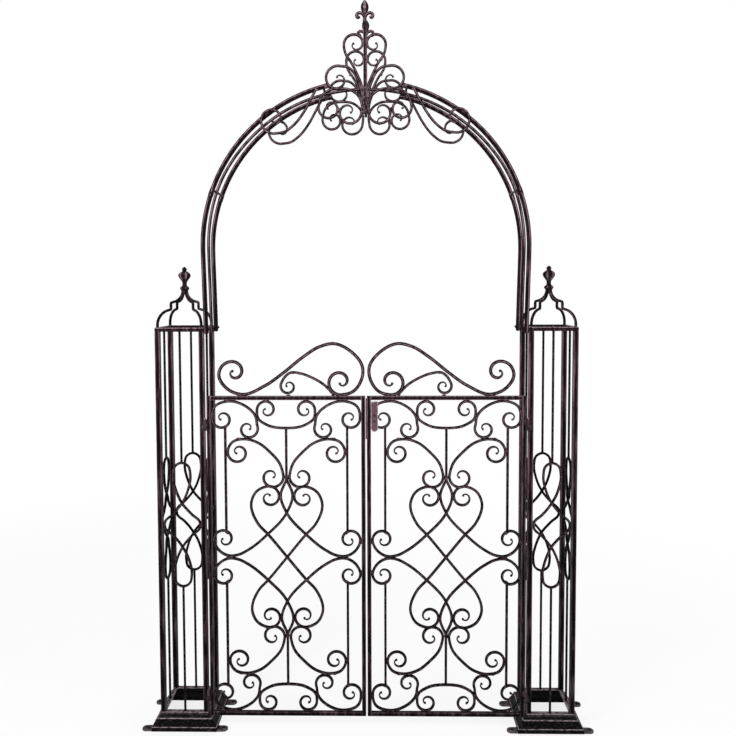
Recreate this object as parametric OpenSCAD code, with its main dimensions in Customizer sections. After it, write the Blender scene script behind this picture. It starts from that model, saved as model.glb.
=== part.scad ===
// Garden gate with a rose arch: two square trellis columns on hollow feet,
// a three-rail arch with a scrolled crest, and a pair of scrolled leaves
// hung on the inner front posts.
// Millimetres, +Z up, +Y towards the back, +X to the right seen from the front.
// Origin: under the foot of the left column, middle of the rim facing the path.

/* [Columns] */
// Distance between the middles of the two columns
column_span = 1458; // [1400:1:1520]
// Distance between the middles of neighbouring posts of a column
post_span = 172; // [168:1:180]
// Side of a square post
post_w = 20; // [18:1:22]
// Height of the top of a column's ring
ring_top = 1612; // [1600:1:1640]
// Height of the bars of a column's ring
ring_h = 16; // [12:1:18]
// Diameter of the thin rods between the posts
rod_d = 8; // [6:0.5:9]
// Diameter of the rod bent into a knot
knot_d = 9; // [7:0.5:10]
// Height of the middle of a knot
knot_z = 829; // [780:1:880]

/* [Feet] */
// Height of a foot
foot_h = 72; // [70:1:80]
// Half of a foot's width at the ground
foot_half = 130; // [126:1:135]
// Half of a foot's depth, front to back, at the ground
foot_half_y = 112; // [110:1:120]
// Height of the rim at the ground
rim_h = 19; // [14:1:20]
// Width of the rim's flat underside
rim_w = 20; // [16:1:24]
// Reach of a bolting ear from the column's middle
ear_reach = 172; // [168:1:176]
// Distance of a bolt hole from the column's middle, sideways
ear_hole_x = 155; // [153:1:157]
// Distance of a bolt hole from the column's middle, front to back
ear_hole_y = 92; // [85:1:93]
// Thickness of an ear
ear_t = 6; // [5:1:8]
// Radius of a bolt hole
ear_hole_r = 5.5; // [4:0.5:6.5]

/* [Arch] */
// Diameter of the front and rear rails of the arch
band_d = 17; // [16:1:18]
// Diameter of the middle rail of the arch
middle_d = 11; // [9:1:12]
// Height where the arch starts to bend
spring_z = 1925; // [1900:5:1950]
// Radius of the arch, to the middle of a rail
band_r = 632; // [628:1:632]
// Distance from the gate's middle to the end of a front or rear rail
band_end = 146; // [140:1:150]

/* [Leaves] */
// Side of the square bars of a leaf's frame
frame_w = 16; // [14:1:16]
// Height of the underside of a leaf
leaf_bottom = 57; // [57:1:64]
// Height of the top of a leaf's top rail
leaf_top = 1343; // [1335:1:1350]
// Gap between a post and the leaf hung on it
hinge_gap = 7; // [6.5:0.5:8]
// Gap between the two leaves
leaf_gap = 6; // [6:0.5:10]
// Diameter of the bar bent into the leaves' scrolls
scroll_d = 10; // [8:1:10]
// Diameter of the bar bent into the scroll along a leaf's top
crest_d = 12; // [10:1:12]

/* [Hidden] */
$fn = 48;
slit = 0.5;                                  // running clearance between hinge knuckles
pin_play = 0.05;                             // radial clearance of a hinge pin
column_x = column_span / 2;
post_half = post_span / 2;
face_half = post_half + post_w / 2;          // column's middle to the outer face of a post
gate_x = column_x - (foot_half - rim_w / 2); // origin to the gate's middle
ring_bottom = ring_top - ring_h;
front_y = -post_half;                        // plane of the leaves and of the front rail
path_face = column_x - face_half;            // gate's middle to the post face at the path
leaf_outer = path_face - hinge_gap;
leaf_inner = leaf_gap / 2;
leaf_mid = (leaf_outer + leaf_inner) / 2;
stile_u = (leaf_outer - leaf_inner - frame_w) / 2;   // leaf's middle to a stile's middle
leaf_z = (leaf_bottom + leaf_top) / 2;
leaf_half_h = (leaf_top - leaf_bottom) / 2;
finial_z = 1756;                             // underside of a finial
foot_z = 1592;                               // lower end of the arch's legs
crest_t = scroll_d - 1;                      // thickness of the crest's bars
crest_out = post_half + (band_d + crest_t) / 2;   // crest's middle plane, in front of the rails
bundle_z = 2491;                             // middle of the bundle of crest bars
crest_foot = 2462;                           // lower end of the crest's middle bar
crest_top = 2752;                            // collar under the spear head
inner_u = stile_u - frame_w / 2;             // leaf's middle to a stile's inner face
inner_v = leaf_half_h - frame_w;             // leaf's middle to a rail's inner face

// hinges: a round barrel in front of the gap between post and stile
barrel_r = 7;
pin_r = 4;
knuckle_h = 22;
hinge_x = path_face - hinge_gap / 2;
hinge_y = front_y - post_w / 2 - barrel_r - 2;
hinge_z = [145, 1231];

paint = "#3c3032";

// ---------- curves ----------

function unit(v) = v / norm(v);
function turn_left(v) = [-v[1], v[0]];
function reversed(p) = [for (i = [len(p) - 1:-1:0]) p[i]];
function flip_x(p) = [for (q = p) [-q[0], q[1]]];

// A curl winds in from radius r at angle a, through turn degrees, to its eye. A higher power
// p keeps it wide for longer.
eye_r = 6;
function curl(c, r, a, turn, p = 1.6) =
    let (n = ceil(abs(turn) / 36))
    [for (i = [0:n]) c + (eye_r + (r - eye_r) * (1 - pow(i / n, p)))
        * [cos(a + turn * i / n), sin(a + turn * i / n)]];

// Direction of a path at point i, weighted by the lengths of the steps beside it.
function heading(p, i) =
    i == 0 ? unit(p[1] - p[0]) :
    i == len(p) - 1 ? unit(p[i] - p[i - 1]) :
    let (a = p[i] - p[i - 1], b = p[i + 1] - p[i])
    unit(a / (norm(a) * norm(a)) + b / (norm(b) * norm(b)));

// Hermite point between p[i] and p[i + 1].
function between(p, i, t) =
    let (l = norm(p[i + 1] - p[i]), m0 = heading(p, i) * l, m1 = heading(p, i + 1) * l)
    p[i] * (2 * t * t * t - 3 * t * t + 1) + m0 * (t * t * t - 2 * t * t + t)
    + p[i + 1] * (3 * t * t - 2 * t * t * t) + m1 * (t * t * t - t * t);

// A path with its long steps cut up along a smooth curve.
function smooth(p, step = 26) =
    [for (i = [0:len(p) - 2]) let (n = ceil(norm(p[i + 1] - p[i]) / step))
        for (j = [0:n - 1]) between(p, i, j / n), p[len(p) - 1]];

// Outline of a flat bar of the width w along a path.
module strip(path, w) {
    p = smooth(path);
    side = [for (i = [0:len(p) - 1]) turn_left(heading(p, i)) * w / 2];
    polygon(concat([for (i = [0:len(p) - 1]) p[i] + side[i]],
        reversed([for (i = [0:len(p) - 1]) p[i] - side[i]])));
}

module both_ways() {
    children();
    mirror([1, 0]) children();
}

module up_and_down() {
    children();
    mirror([0, 1]) children();
}

// A flat pattern drawn in x and z, stood up with the thickness t about the plane y.
module stand(y, t) translate([0, y + t / 2, 0]) rotate([90, 0, 0]) linear_extrude(t) children();

// ---------- placing ----------

module at_gate() translate([gate_x, 0, 0]) children();

module at_column(side) at_gate() translate([side * column_x, 0, 0]) children();

// side -1 keeps the left-hand shape, 1 mirrors it
module on_side(side) at_gate() {
    if (side < 0) children();
    else mirror([1, 0, 0]) children();
}

// ---------- columns ----------

// Section through a foot: a rim, a slope up to a step, and a band as wide as the posts.
step_z = 50;
function step_half(half) = face_half + 0.42 * (half - face_half);

module foot_outline(half) both_ways()
    polygon([[0, 0], [half, 0], [half, rim_h], [step_half(half), step_z],
        [face_half, step_z + 3], [face_half, foot_h], [0, foot_h]]);

module foot_hollow(half) both_ways()
    polygon([[0, -1], [half - rim_w, -1], [half - rim_w, rim_h], [face_half - post_w, step_z],
        [face_half - post_w, foot_h + 1], [0, foot_h + 1]]);

// What two sections, one seen from the front and one from the side, have in common.
module crossed() {
    intersection() {
        rotate([90, 0, 0]) linear_extrude(2 * ear_reach, center = true) children(0);
        rotate([90, 0, 90]) linear_extrude(2 * ear_reach, center = true) children(1);
    }
}

module foot(side) color(paint) at_column(side) difference() {
    union() {
        crossed() {
            foot_outline(foot_half);
            foot_outline(foot_half_y);
        }
        for (sx = [-1, 1]) for (sy = [-1, 1]) {
            ear_r = ear_reach - ear_hole_x;
            translate([sx * ear_hole_x, sy * ear_hole_y, 0]) cylinder(h = ear_t, r = ear_r);
            translate([sx > 0 ? foot_half - 8 : -ear_hole_x, sy * ear_hole_y - ear_r, 0])
                cube([ear_hole_x - foot_half + 8, 2 * ear_r, ear_t]);
        }
    }
    crossed() {
        foot_hollow(foot_half);
        foot_hollow(foot_half_y);
    }
    for (sx = [-1, 1]) for (sy = [-1, 1])
        translate([sx * ear_hole_x, sy * ear_hole_y, -1]) cylinder(h = ear_t + 2, r = ear_hole_r);
}

module posts(side) color(paint) at_column(side)
    for (sx = [-1, 1]) for (sy = [-1, 1])
        translate([sx * post_half - post_w / 2, sy * post_half - post_w / 2, foot_h])
            cube([post_w, post_w, ring_bottom - foot_h]);

module ring(side) color(paint) at_column(side) translate([0, 0, ring_bottom]) difference() {
    translate([-face_half, -face_half, 0]) cube([2 * face_half, 2 * face_half, ring_h]);
    translate([-post_half + 7, -post_half + 7, -1])
        cube([post_span - 14, post_span - 14, ring_h + 2]);
}

// Knot of a trellis panel: a loop, a diamond and a loop, crossing above and below the diamond.
module knot() {
    tip = post_half - post_w / 2 - knot_d / 2;
    strand = [[tip - 1, 0], [38, 42], [0, 88], [-24, 140], [-34, 202], [-25, 236], [0, 248], [4, 248]];
    both_ways() {
        up_and_down() strip(strand, knot_d);
        translate([tip - 1, 0]) circle(d = knot_d + 2, $fn = 8);
    }
}

// A panel between two posts; turn 0 is the front one, counting anticlockwise from above.
module panel(side, turn) color(paint) at_column(side) rotate([0, 0, turn])
    translate([0, -post_half, 0]) {
        translate([0, 0, knot_z]) stand(0, knot_d - 1) knot();
        translate([0, 0, foot_h]) cylinder(h = knot_z - 248 - foot_h, d = rod_d);
        translate([0, 0, knot_z + 248]) cylinder(h = ring_bottom - knot_z - 248, d = rod_d);
    }

// Four ribs from the corners: up, over, a short upright, and up again to the finial.
module cap(side) {
    corner = post_half * sqrt(2);
    knee = 62;
    knee_z = 1680;
    neck_z = 1710;
    seat_z = finial_z - 1;                   // where the ribs end, inside the boss
    rise = seat_z - neck_z;
    bend = corner - knee;
    rib = concat(
        [[corner, ring_top]],
        [for (a = [0:15:75]) [knee + bend * cos(a), knee_z - bend + bend * sin(a)]],
        [[knee + 4, knee_z], [knee, knee_z + 4], [knee, neck_z - 4], [knee - 4, neck_z]],
        [for (a = [75:-15:0]) [knee - (knee - 9) * cos(a), seat_z - rise * sin(a)]]
    );
    color(paint) at_column(side) {
        for (a = [45:90:315]) rotate([0, 0, a]) stand(0, rod_d) strip(rib, rod_d);
        translate([0, 0, finial_z - 12]) cylinder(h = 12, r = 12);
    }
}

module finial(side) color(paint) at_column(side) translate([0, 0, finial_z]) rotate_extrude()
    polygon([[0, 0], [13, 0], [18, 7], [18, 14], [10, 20], [9, 32], [13, 42], [21, 55], [22, 65],
        [16, 75], [8, 80], [10, 86], [8, 92], [0, 96]]);

// Pins of the two hinges, each on a barrel welded to the front of the post.
module hinge_pins(side) color(paint) on_side(side) for (z = hinge_z)
    translate([-hinge_x, hinge_y, z]) {
        translate([0, 0, -knuckle_h]) cylinder(h = knuckle_h, r = barrel_r);
        cylinder(h = knuckle_h - 4, r = pin_r);
        translate([-13, 0, -knuckle_h]) cube([13, front_y - post_w / 2 - hinge_y, knuckle_h]);
    }

// ---------- arch ----------

arch_top_a = acos(band_end / band_r);        // angle of a rail's end above the spring line
joint_a = 20.4;                              // angle of the joint between a leg and a crown rail
middle_r = band_r - 2;

// Tube of the diameter d: an arc from end_a down past the spring line, and a leg in line with
// the arc's end, so that it leans in towards its foot. The leg is pushed up against the arc.
lean = 1.4;
leg_play = 0.02;

module tube(r, d, y, end_a) translate([0, y, spring_z]) rotate([90, 0, 0]) {
    rotate([0, 0, 180 - end_a]) rotate_extrude(angle = end_a + lean) translate([r, 0]) circle(d = d);
    rotate([0, 0, 180 + lean]) translate([r, leg_play, 0]) rotate([-90, 0, 0])
        cylinder(h = spring_z - foot_z - r * sin(lean) - leg_play, d = d);
}

module band(side, y) color(paint) on_side(side) tube(band_r, band_d, y, arch_top_a);

module middle(side) color(paint) on_side(side) tube(middle_r, middle_d, 0, 90);

// Short rods that hold the middle rail between the front and the rear one.
module rungs() color(paint) at_gate() for (s = [-1, 1]) for (a = [joint_a, arch_top_a - 1.5])
    for (y = [-1, 1]) translate([s * middle_r * cos(a), 0, spring_z + middle_r * sin(a)])
        rotate([y * 90, 0, 0]) translate([0, 0, middle_d / 2])
            cylinder(h = (post_span - band_d - middle_d) / 2 + 0.15, d = rod_d);

// ---------- crest ----------

// Half of the crest's bars, drawn from the middle of the bundle.
upper_scroll = concat([[-9, -12], [-10, 33], [-32, 93], [-54, 135], [-73, 164]],
    curl([-37, 200], 43, 189, -400, 1.25));
second_scroll = concat([[-12, -11], [-12, 7], [-28, 65], [-44, 96], [-65, 114]],
    curl([-104, 71], 49, 78, 400));
lower_scroll = concat(reversed(curl([-136, -39], 42, 165, 400)),
    [[-165, 7], [-137, 28], [-97, 34], [-54, 28], [-25, 6], [-12, -26]],
    curl([-61, -54], 47, -5, -380));
side_scroll = concat([[-186, 2526], [-209, 2482], [-232, 2441], [-280, 2383], [-308, 2364]],
    curl([-351, 2409], 52, -80, -400));

module crest(y) color(paint) at_gate() translate([0, 0, bundle_z]) {
    stand(y, crest_t) {
        both_ways() {
            strip(upper_scroll, crest_t);
            strip(second_scroll, crest_t);
            strip(lower_scroll, crest_t);
        }
        for (z = [0, 38]) translate([-18, z - 6]) square([36, 12]);
        translate([-6, crest_foot - bundle_z]) square([12, crest_top - crest_foot]);
    }
}

// Spear head: a collar, a tapered neck, two curled arms and a pointed blade.
module spear(y) color(paint) at_gate() {
    translate([0, y, crest_top]) rotate_extrude()
        polygon([[0, 0], [9, 0], [11, 5], [11, 14], [8, 19], [8, 24], [0, 24]]);
    stand(y, 9) both_ways() {
        polygon([[0, crest_top + 19], [7, crest_top + 19], [6, crest_top + 42], [9, crest_top + 58],
            [15, crest_top + 74], [12, crest_top + 88], [0, crest_top + 107]]);
        strip([[3, crest_top + 34], [10, crest_top + 52], [23, crest_top + 57], [31, crest_top + 48],
            [27, crest_top + 38]], 6);
    }
}

module side_scrolls(y) color(paint) at_gate() stand(y, crest_t)
    both_ways() strip(side_scroll, crest_t);

// ---------- leaves ----------

// Scrolls of a leaf, drawn about its middle, u towards the meeting stile and v up.
corner_scroll = concat(reversed(curl([-252, 553], 38.4, 180, 400)),
    [[-280, 600], [-231, 621.5], [-166, 607], [-119, 560]],
    curl([-149, 513], 38, 20, -400));
bowl_scroll_half = concat(reversed(curl([-77, 587], 37, 180, -400)), [[-110, 555], [-78, 530]]);
bowl_scroll = concat(bowl_scroll_half, [[0, 516]], reversed(flip_x(bowl_scroll_half)));
fork_scroll = concat(reversed(curl([-191, 419], 40, 180, 400)),
    [[-212, 460], [-170, 472], [-112, 458], [-65, 421], [-25, 372]],
    curl([-57, 322], 45, 14, -400));
heart_half = concat(reversed(curl([-69, 241], 43, 105, -400)),
    [[-120, 262], [-139, 225], [-115, 135], [-75, 91]]);
heart_scroll = concat(heart_half, [[0, 0]],
    reversed([for (q = heart_half) [-q[0], -q[1]]]));
almond_scroll = concat(reversed(curl([-250, 70], 40.5, 200, -400)),
    [[-268, 24], [-231, 5], [-190, 10], [-155, 28], [-75, 93], [-1, 177], [23, 249], [0, 311]]);
bar_u = 240;

module leaf_pattern() {
    up_and_down() {
        both_ways() {
            strip(corner_scroll, scroll_d);
            strip(fork_scroll, scroll_d);
            strip(almond_scroll, scroll_d);
            translate([-bar_u - rod_d / 2, 97]) square([rod_d, 429]);
        }
        strip(bowl_scroll, scroll_d);
        translate([-rod_d / 2, 308]) square([rod_d, 208]);
    }
    both_ways() strip(heart_scroll, scroll_d);
}

// Long scroll that rises towards the meeting stile, with a small one under its shoulder.
long_scroll = concat(reversed(curl([-204, 93], 43, 100, -330, 1)),
    [[-245, 122], [-262, 87], [-232, 30], [-177, 6.5], [-80, 41], [-6, 93], [69, 153], [136, 194],
        [188, 205], [254, 176], [302, 108], [292, 52], [262, 16]],
    curl([215, 54], 50, -80, -400));
small_scroll = concat(reversed(curl([10, 38], 30, 150, 400)),
    [[-5, 72], [16, 90], [60, 88], [105, 71], [150, 44], [187, 6]]);

module crest_pattern() {
    strip(long_scroll, crest_d);
    strip(small_scroll, scroll_d);
}

module at_leaf(side) on_side(side) translate([-leaf_mid, 0, 0]) children();

module frame_bar(u0, u1, z0, z1) translate([u0, front_y - frame_w / 2, z0])
    cube([u1 - u0, frame_w, z1 - z0]);

// The hinge stile carries the upper barrels of both hinges.
module hinge_stile(side) color(paint) {
    at_leaf(side) frame_bar(-stile_u - frame_w / 2, -stile_u + frame_w / 2, leaf_bottom, leaf_top);
    on_side(side) for (z = hinge_z) translate([-hinge_x, hinge_y, z + slit]) difference() {
        union() {
            cylinder(h = knuckle_h, r = barrel_r);
            translate([0, 0, 0]) cube([13, front_y - frame_w / 2 - hinge_y, knuckle_h]);
        }
        translate([0, 0, -1]) cylinder(h = knuckle_h - 2, r = pin_r + pin_play);
    }
}

module meeting_stile(side) color(paint) at_leaf(side)
    frame_bar(stile_u - frame_w / 2, stile_u + frame_w / 2, leaf_bottom, leaf_top);

module rail(side, z) color(paint) at_leaf(side)
    frame_bar(-stile_u + frame_w / 2, stile_u - frame_w / 2, z, z + frame_w);

module leaf_scrolls(side) color(paint) at_leaf(side)
    translate([0, 0, leaf_z]) stand(front_y, scroll_d) intersection() {
        leaf_pattern();
        square([2 * inner_u, 2 * inner_v], center = true);
    }

module leaf_crest(side) color(paint) at_leaf(side)
    translate([0, 0, leaf_top]) stand(front_y, crest_d) intersection() {
        crest_pattern();
        translate([-leaf_outer, 0]) square([2 * leaf_outer, leaf_top]);
    }

// The plate is welded to the meeting stile, in front of the scrolls.
module lock_plate() color(paint) at_gate() {
    plate_x = leaf_inner + frame_w;
    plate_w = 28;
    plate_y = front_y - frame_w / 2;
    plate_t = (frame_w - scroll_d) / 2;
    difference() {
        stand(plate_y + plate_t / 2, plate_t) {
            translate([plate_x, 1216]) square([plate_w, 106]);
            translate([plate_x + plate_w / 2, 1216]) circle(d = plate_w);
        }
        for (z = [1243, 1267]) translate([plate_x + plate_w / 2, front_y, z])
            rotate([90, 0, 0]) cylinder(h = frame_w, r = 4);
    }
}

foot(-1);  // left_foot
posts(-1);  // left_posts
ring(-1);  // left_ring
panel(-1, 0);  // left_panel_front
panel(-1, 180);  // left_panel_rear
panel(-1, 270);  // left_panel_outer
panel(-1, 90);  // left_panel_path
cap(-1);  // left_cap
finial(-1);  // left_finial
hinge_pins(-1);  // left_hinge_pins
foot(1);  // right_foot
posts(1);  // right_posts
ring(1);  // right_ring
panel(1, 0);  // right_panel_front
panel(1, 180);  // right_panel_rear
panel(1, 90);  // right_panel_outer
panel(1, 270);  // right_panel_path
cap(1);  // right_cap
finial(1);  // right_finial
hinge_pins(1);  // right_hinge_pins
band(-1, -post_half);  // arch_front_left
band(1, -post_half);  // arch_front_right
band(-1, post_half);  // arch_rear_left
band(1, post_half);  // arch_rear_right
middle(-1);  // arch_middle_left
middle(1);  // arch_middle_right
rungs();  // arch_rungs
crest(-crest_out);  // crest_front
crest(crest_out);  // crest_rear
spear(-crest_out);  // spear_front
spear(crest_out);  // spear_rear
side_scrolls(-crest_out);  // side_scrolls_front
side_scrolls(crest_out);  // side_scrolls_rear
hinge_stile(-1);  // left_leaf_hinge_stile
meeting_stile(-1);  // left_leaf_meeting_stile
rail(-1, leaf_top - frame_w);  // left_leaf_top_rail
rail(-1, leaf_bottom);  // left_leaf_bottom_rail
leaf_scrolls(-1);  // left_leaf_scrolls
leaf_crest(-1);  // left_leaf_crest
hinge_stile(1);  // right_leaf_hinge_stile
meeting_stile(1);  // right_leaf_meeting_stile
rail(1, leaf_top - frame_w);  // right_leaf_top_rail
rail(1, leaf_bottom);  // right_leaf_bottom_rail
leaf_scrolls(1);  // right_leaf_scrolls
leaf_crest(1);  // right_leaf_crest
lock_plate();  // right_leaf_lock_plate
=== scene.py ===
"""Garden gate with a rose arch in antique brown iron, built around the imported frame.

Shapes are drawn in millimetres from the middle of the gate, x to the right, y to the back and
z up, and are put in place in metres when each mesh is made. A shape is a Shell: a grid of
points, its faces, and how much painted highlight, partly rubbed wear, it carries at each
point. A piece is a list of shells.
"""
from collections import namedtuple

import bmesh
import bpy
import numpy as np
from mathutils import Matrix, Vector

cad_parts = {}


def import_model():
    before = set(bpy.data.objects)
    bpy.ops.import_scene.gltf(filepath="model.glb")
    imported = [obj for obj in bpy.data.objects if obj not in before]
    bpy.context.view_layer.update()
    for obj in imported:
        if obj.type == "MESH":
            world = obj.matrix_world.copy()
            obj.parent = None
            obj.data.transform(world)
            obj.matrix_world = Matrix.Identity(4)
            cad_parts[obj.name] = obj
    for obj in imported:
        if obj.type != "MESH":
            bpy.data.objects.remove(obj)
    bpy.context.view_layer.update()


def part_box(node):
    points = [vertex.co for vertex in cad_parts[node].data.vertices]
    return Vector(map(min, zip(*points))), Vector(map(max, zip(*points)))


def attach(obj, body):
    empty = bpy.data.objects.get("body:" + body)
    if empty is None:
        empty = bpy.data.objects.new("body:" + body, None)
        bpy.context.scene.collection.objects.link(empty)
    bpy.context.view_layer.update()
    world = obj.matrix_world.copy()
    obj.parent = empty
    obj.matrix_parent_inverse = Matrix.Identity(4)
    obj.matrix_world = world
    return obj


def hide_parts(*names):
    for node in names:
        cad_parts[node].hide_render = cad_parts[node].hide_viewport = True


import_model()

MM = 0.001

# ---------- sizes taken from the frame ----------


def span_mm(node):
    """Lowest and highest corner of a CAD node, in millimetres, x from the gate's middle."""
    low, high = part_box(node)
    return (np.array(low) - GATE) / MM, (np.array(high) - GATE) / MM


GATE = np.zeros(3)
GATE[0] = (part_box("left_posts")[0].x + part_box("right_posts")[1].x) / 2
POSTS = span_mm("right_posts")
RING = span_mm("right_ring")
TOP_RAIL = span_mm("right_leaf_top_rail")
LOW_RAIL = span_mm("right_leaf_bottom_rail")
FINIAL = span_mm("right_finial")
PLATE = span_mm("right_leaf_lock_plate")
CREST = span_mm("crest_rear")
BAND = span_mm("arch_rear_right")
PINS = span_mm("right_hinge_pins")

COLUMN_X = (POSTS[0][0] + POSTS[1][0]) / 2
FACE = (POSTS[1][0] - POSTS[0][0]) / 2      # column's middle to the outer face of a post
POST_W = 20
POST_AT = FACE - POST_W / 2                 # column's middle to a post's middle
FRONT_Y = -POST_AT
PATH_FACE = COLUMN_X - FACE
FOOT_TOP = POSTS[0][2]
RING_LOW, RING_TOP = RING[0][2], RING[1][2]
KNOT_Z = 829                                # middle of the trellis knots
KNOT_REACH = 248                            # half of a knot's height
ROD_D = 9.6
KNOT_D = 10.2
RIB_D = 11                                  # ribs of the caps

BAND_D = BAND[1][1] - BAND[0][1]
BAND_W = BAND_D + 1.6                       # with its coats of paint
MIDDLE_D = 12.4                             # thin rail between the front and rear ones
SPRING_Z = 1925                             # middle of the arch's circle
BAND_R = 632
BAND_END = BAND[0][0]
LEG_FOOT_Z = BAND[0][2]
LEAN = np.radians(1.4)                      # a leg's lean towards the post
JOINT_A = np.radians(20.4)                  # swaged joint, above the spring line
CREST_Y = (CREST[0][1] + CREST[1][1]) / 2
BUNDLE_Z = 2491                             # lower collar of the crest
COLLAR_GAP = 38                             # from the lower collar up to the upper one
CREST_BAR_Z = 2462                          # lower end of the crest's square bar
SPEAR_Z = CREST[1][2]

FRAME_W = TOP_RAIL[1][2] - TOP_RAIL[0][2]
LEAF_TOP, LEAF_LOW = TOP_RAIL[1][2], LOW_RAIL[0][2]
LEAF_Z = (LEAF_TOP + LEAF_LOW) / 2
LEAF_MID = (TOP_RAIL[0][0] + TOP_RAIL[1][0]) / 2
INNER_U = (TOP_RAIL[1][0] - TOP_RAIL[0][0]) / 2
BAR_D = 11                                  # scrolls inside a leaf
SPINDLE_W = 9.6                             # light square uprights of a leaf
CREST_D = 13.2                              # long scroll on top of a leaf
CROWN_D = 10.4                              # scrolls of the crest over the arch
EYE_R = 6                                   # radius at which every curl ends
DRAWN = 0.5                                 # part of its size that a curl's tip is drawn down to
DRESSED = 1.6                               # how far a bar is set forward or back at a crossing

HINGE_GAP = 7                               # from a leaf to its post
HINGE_X = PATH_FACE - HINGE_GAP / 2
BARREL_R = 7
HINGE_Y = PINS[0][1] + BARREL_R
KNUCKLE_H = 22
HINGE_Z = [145, 1231]
KEYHOLES_Z = (1243, 1267)
KEY_SLOT_Z = (1236, 1274)
KEY_D = 9.5
PLATE_SHOULDER_Z = 1262
STRIP_LOW_Z = 1172

QUARTERS = np.array([(1, 1), (1, -1), (-1, 1), (-1, -1)])

# ---------- curves ----------


def curl(c, r, a, turn, p=1.6):
    """Points of a curl about c, from radius r at the angle a, both in degrees. The radius falls
    to the eye's, as one less the power p of the part of the turn already made."""
    t = np.linspace(0, 1, int(abs(turn) / 9) + 1)
    angle = np.radians(a + turn * t)
    radius = EYE_R + (r - EYE_R) * (1 - t ** p)
    return np.stack([c[0] + radius * np.cos(angle), c[1] + radius * np.sin(angle)], 1)


def path(*pieces):
    """Joins points and runs of points into one array."""
    return np.vstack([np.atleast_2d(np.asarray(piece, float)) for piece in pieces])


def headings(points):
    """Unit direction at each point: the two steps beside it, each divided by its length
    squared, are added, so that the shorter step counts more."""
    step = np.diff(points, axis=0)
    length = np.linalg.norm(step, axis=1, keepdims=True)
    inner = step[:-1] / length[:-1] ** 2 + step[1:] / length[1:] ** 2
    whole = np.vstack([step[:1], inner, step[-1:]])
    return whole / np.linalg.norm(whole, axis=1, keepdims=True)


def smooth(points, step=6):
    """Cuts each long step of a path along a Hermite curve whose ends follow the headings."""
    points = np.asarray(points, float)
    length = np.linalg.norm(np.diff(points, axis=0), axis=1)
    head = headings(points)
    count = np.ceil(length / step).astype(int)
    start = np.repeat(np.arange(len(count)), count)
    t = (np.arange(count.sum()) - np.repeat(np.cumsum(count) - count, count)) / count[start]
    t = t[:, None]
    near, far = points[start], points[start + 1]
    pull = length[start][:, None]
    leave, arrive = head[start] * pull, head[start + 1] * pull
    out = near * (2 * t ** 3 - 3 * t ** 2 + 1) + leave * (t ** 3 - 2 * t ** 2 + t)
    out += far * (3 * t ** 2 - 2 * t ** 3) + arrive * (t ** 3 - t ** 2)
    return np.vstack([out, points[-1:]])


def flip(points):
    """The same path on the other side of the upright through 0."""
    return np.asarray(points, float) * [-1, 1]


# ---------- shells ----------

# the last field is how much painted highlight, partly rubbed wear, each point carries
Shell = namedtuple("Shell", "points quads caps rub")


def grid_faces(rows, columns, closed_rows=False):
    """Four-sided faces of a grid that closes on itself across its columns."""
    r = np.arange(rows if closed_rows else rows - 1)[:, None]
    c = np.arange(columns)[None, :]
    r1, c1 = (r + 1) % rows, (c + 1) % columns
    quads = [r * columns + c, r * columns + c1, r1 * columns + c1, r1 * columns + c]
    return np.stack(quads, -1).reshape(-1, 4)


def shell(grid, rub, closed_rows=False):
    """A shell from rings of points, with its two end rings capped unless the rings close."""
    rows, columns = grid.shape[:2]
    ring = np.arange(columns)
    caps = [] if closed_rows else [ring, ring + (rows - 1) * columns]
    rub = np.broadcast_to(rub, (rows, columns)).reshape(-1)
    return Shell(grid.reshape(-1, 3), grid_faces(rows, columns, closed_rows), caps, rub)


def round_profile(sides, power):
    """A closed outline between a circle and a square: each coordinate is the sine or cosine
    raised to 2 over the power."""
    a = np.arange(sides) / sides * 2 * np.pi - np.pi / 2
    c, s = np.cos(a), np.sin(a)
    return np.sign(c) * np.abs(c) ** (2 / power), np.sign(s) * np.abs(s) ** (2 / power)


def with_round_ends(points, head, size, reach):
    """Adds four shrinking rings beyond each end, along a quarter circle, so that a bar ends in
    a soft dome."""
    a = np.radians([20, 42, 64, 84])
    out, shrink = reach * np.sin(a)[:, None], np.cos(a)
    first = points[0] - head[0] * out * size[0]
    last = points[-1] + head[-1] * out * size[-1]
    points = np.vstack([first[::-1], points, last])
    head = np.vstack([np.repeat(head[:1], 4, 0), head, np.repeat(head[-1:], 4, 0)])
    size = np.concatenate([size[0] * shrink[::-1], size, size[-1] * shrink])
    return points, head, size


def bar(flat, w, t=None, y=0.0, ends=(1.0, 1.0), power=2.6, sides=16, step=6, drawn=80, line=0):
    """A forged bar along a path drawn in x and z. The outline is carried along the path, its
    width w across it and its thickness t along y, or w again. Towards each end its size eases
    down to the given part over the last stretch drawn, and then swells by a bell curve into a
    small knob. One edge of the outline, counted from the front one, carries a painted highlight
    line all along, partly rubbed wear."""
    p = smooth(flat, step)
    t = w if t is None else t
    s = np.concatenate([[0], np.cumsum(np.linalg.norm(np.diff(p, axis=0), axis=1))])
    fade = [np.clip(s / drawn, 0, 1), np.clip((s[-1] - s) / drawn, 0, 1)]
    size = np.ones(len(p))
    for end, f, gone in zip(ends, fade, (s, s[-1] - s)):
        size *= end + (1 - end) * f * f * (3 - 2 * f)
        size *= 1 + (1 - end) * 1.5 * np.exp(-(gone / 4.5) ** 2)
    lift = np.broadcast_to(y, (len(p),))
    lift = np.concatenate([np.repeat(lift[:1], 4), lift, np.repeat(lift[-1:], 4)])
    p, head, size = with_round_ends(p, headings(p), size, w * 0.35)
    c, q = round_profile(sides, power)
    across = np.stack([-head[:, 1], head[:, 0]], 1)
    x = p[:, :1] + across[:, :1] * c * size[:, None] * w / 2
    z = p[:, 1:] + across[:, 1:] * c * size[:, None] * w / 2
    yy = lift[:, None] + q * size[:, None] * t / 2
    # a painted highlight line, partly rubbed wear, on one point of the outline
    ridge = (np.arange(sides) == line % sides).astype(float)
    return shell(np.stack([x, yy, z], -1), ridge)


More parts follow.
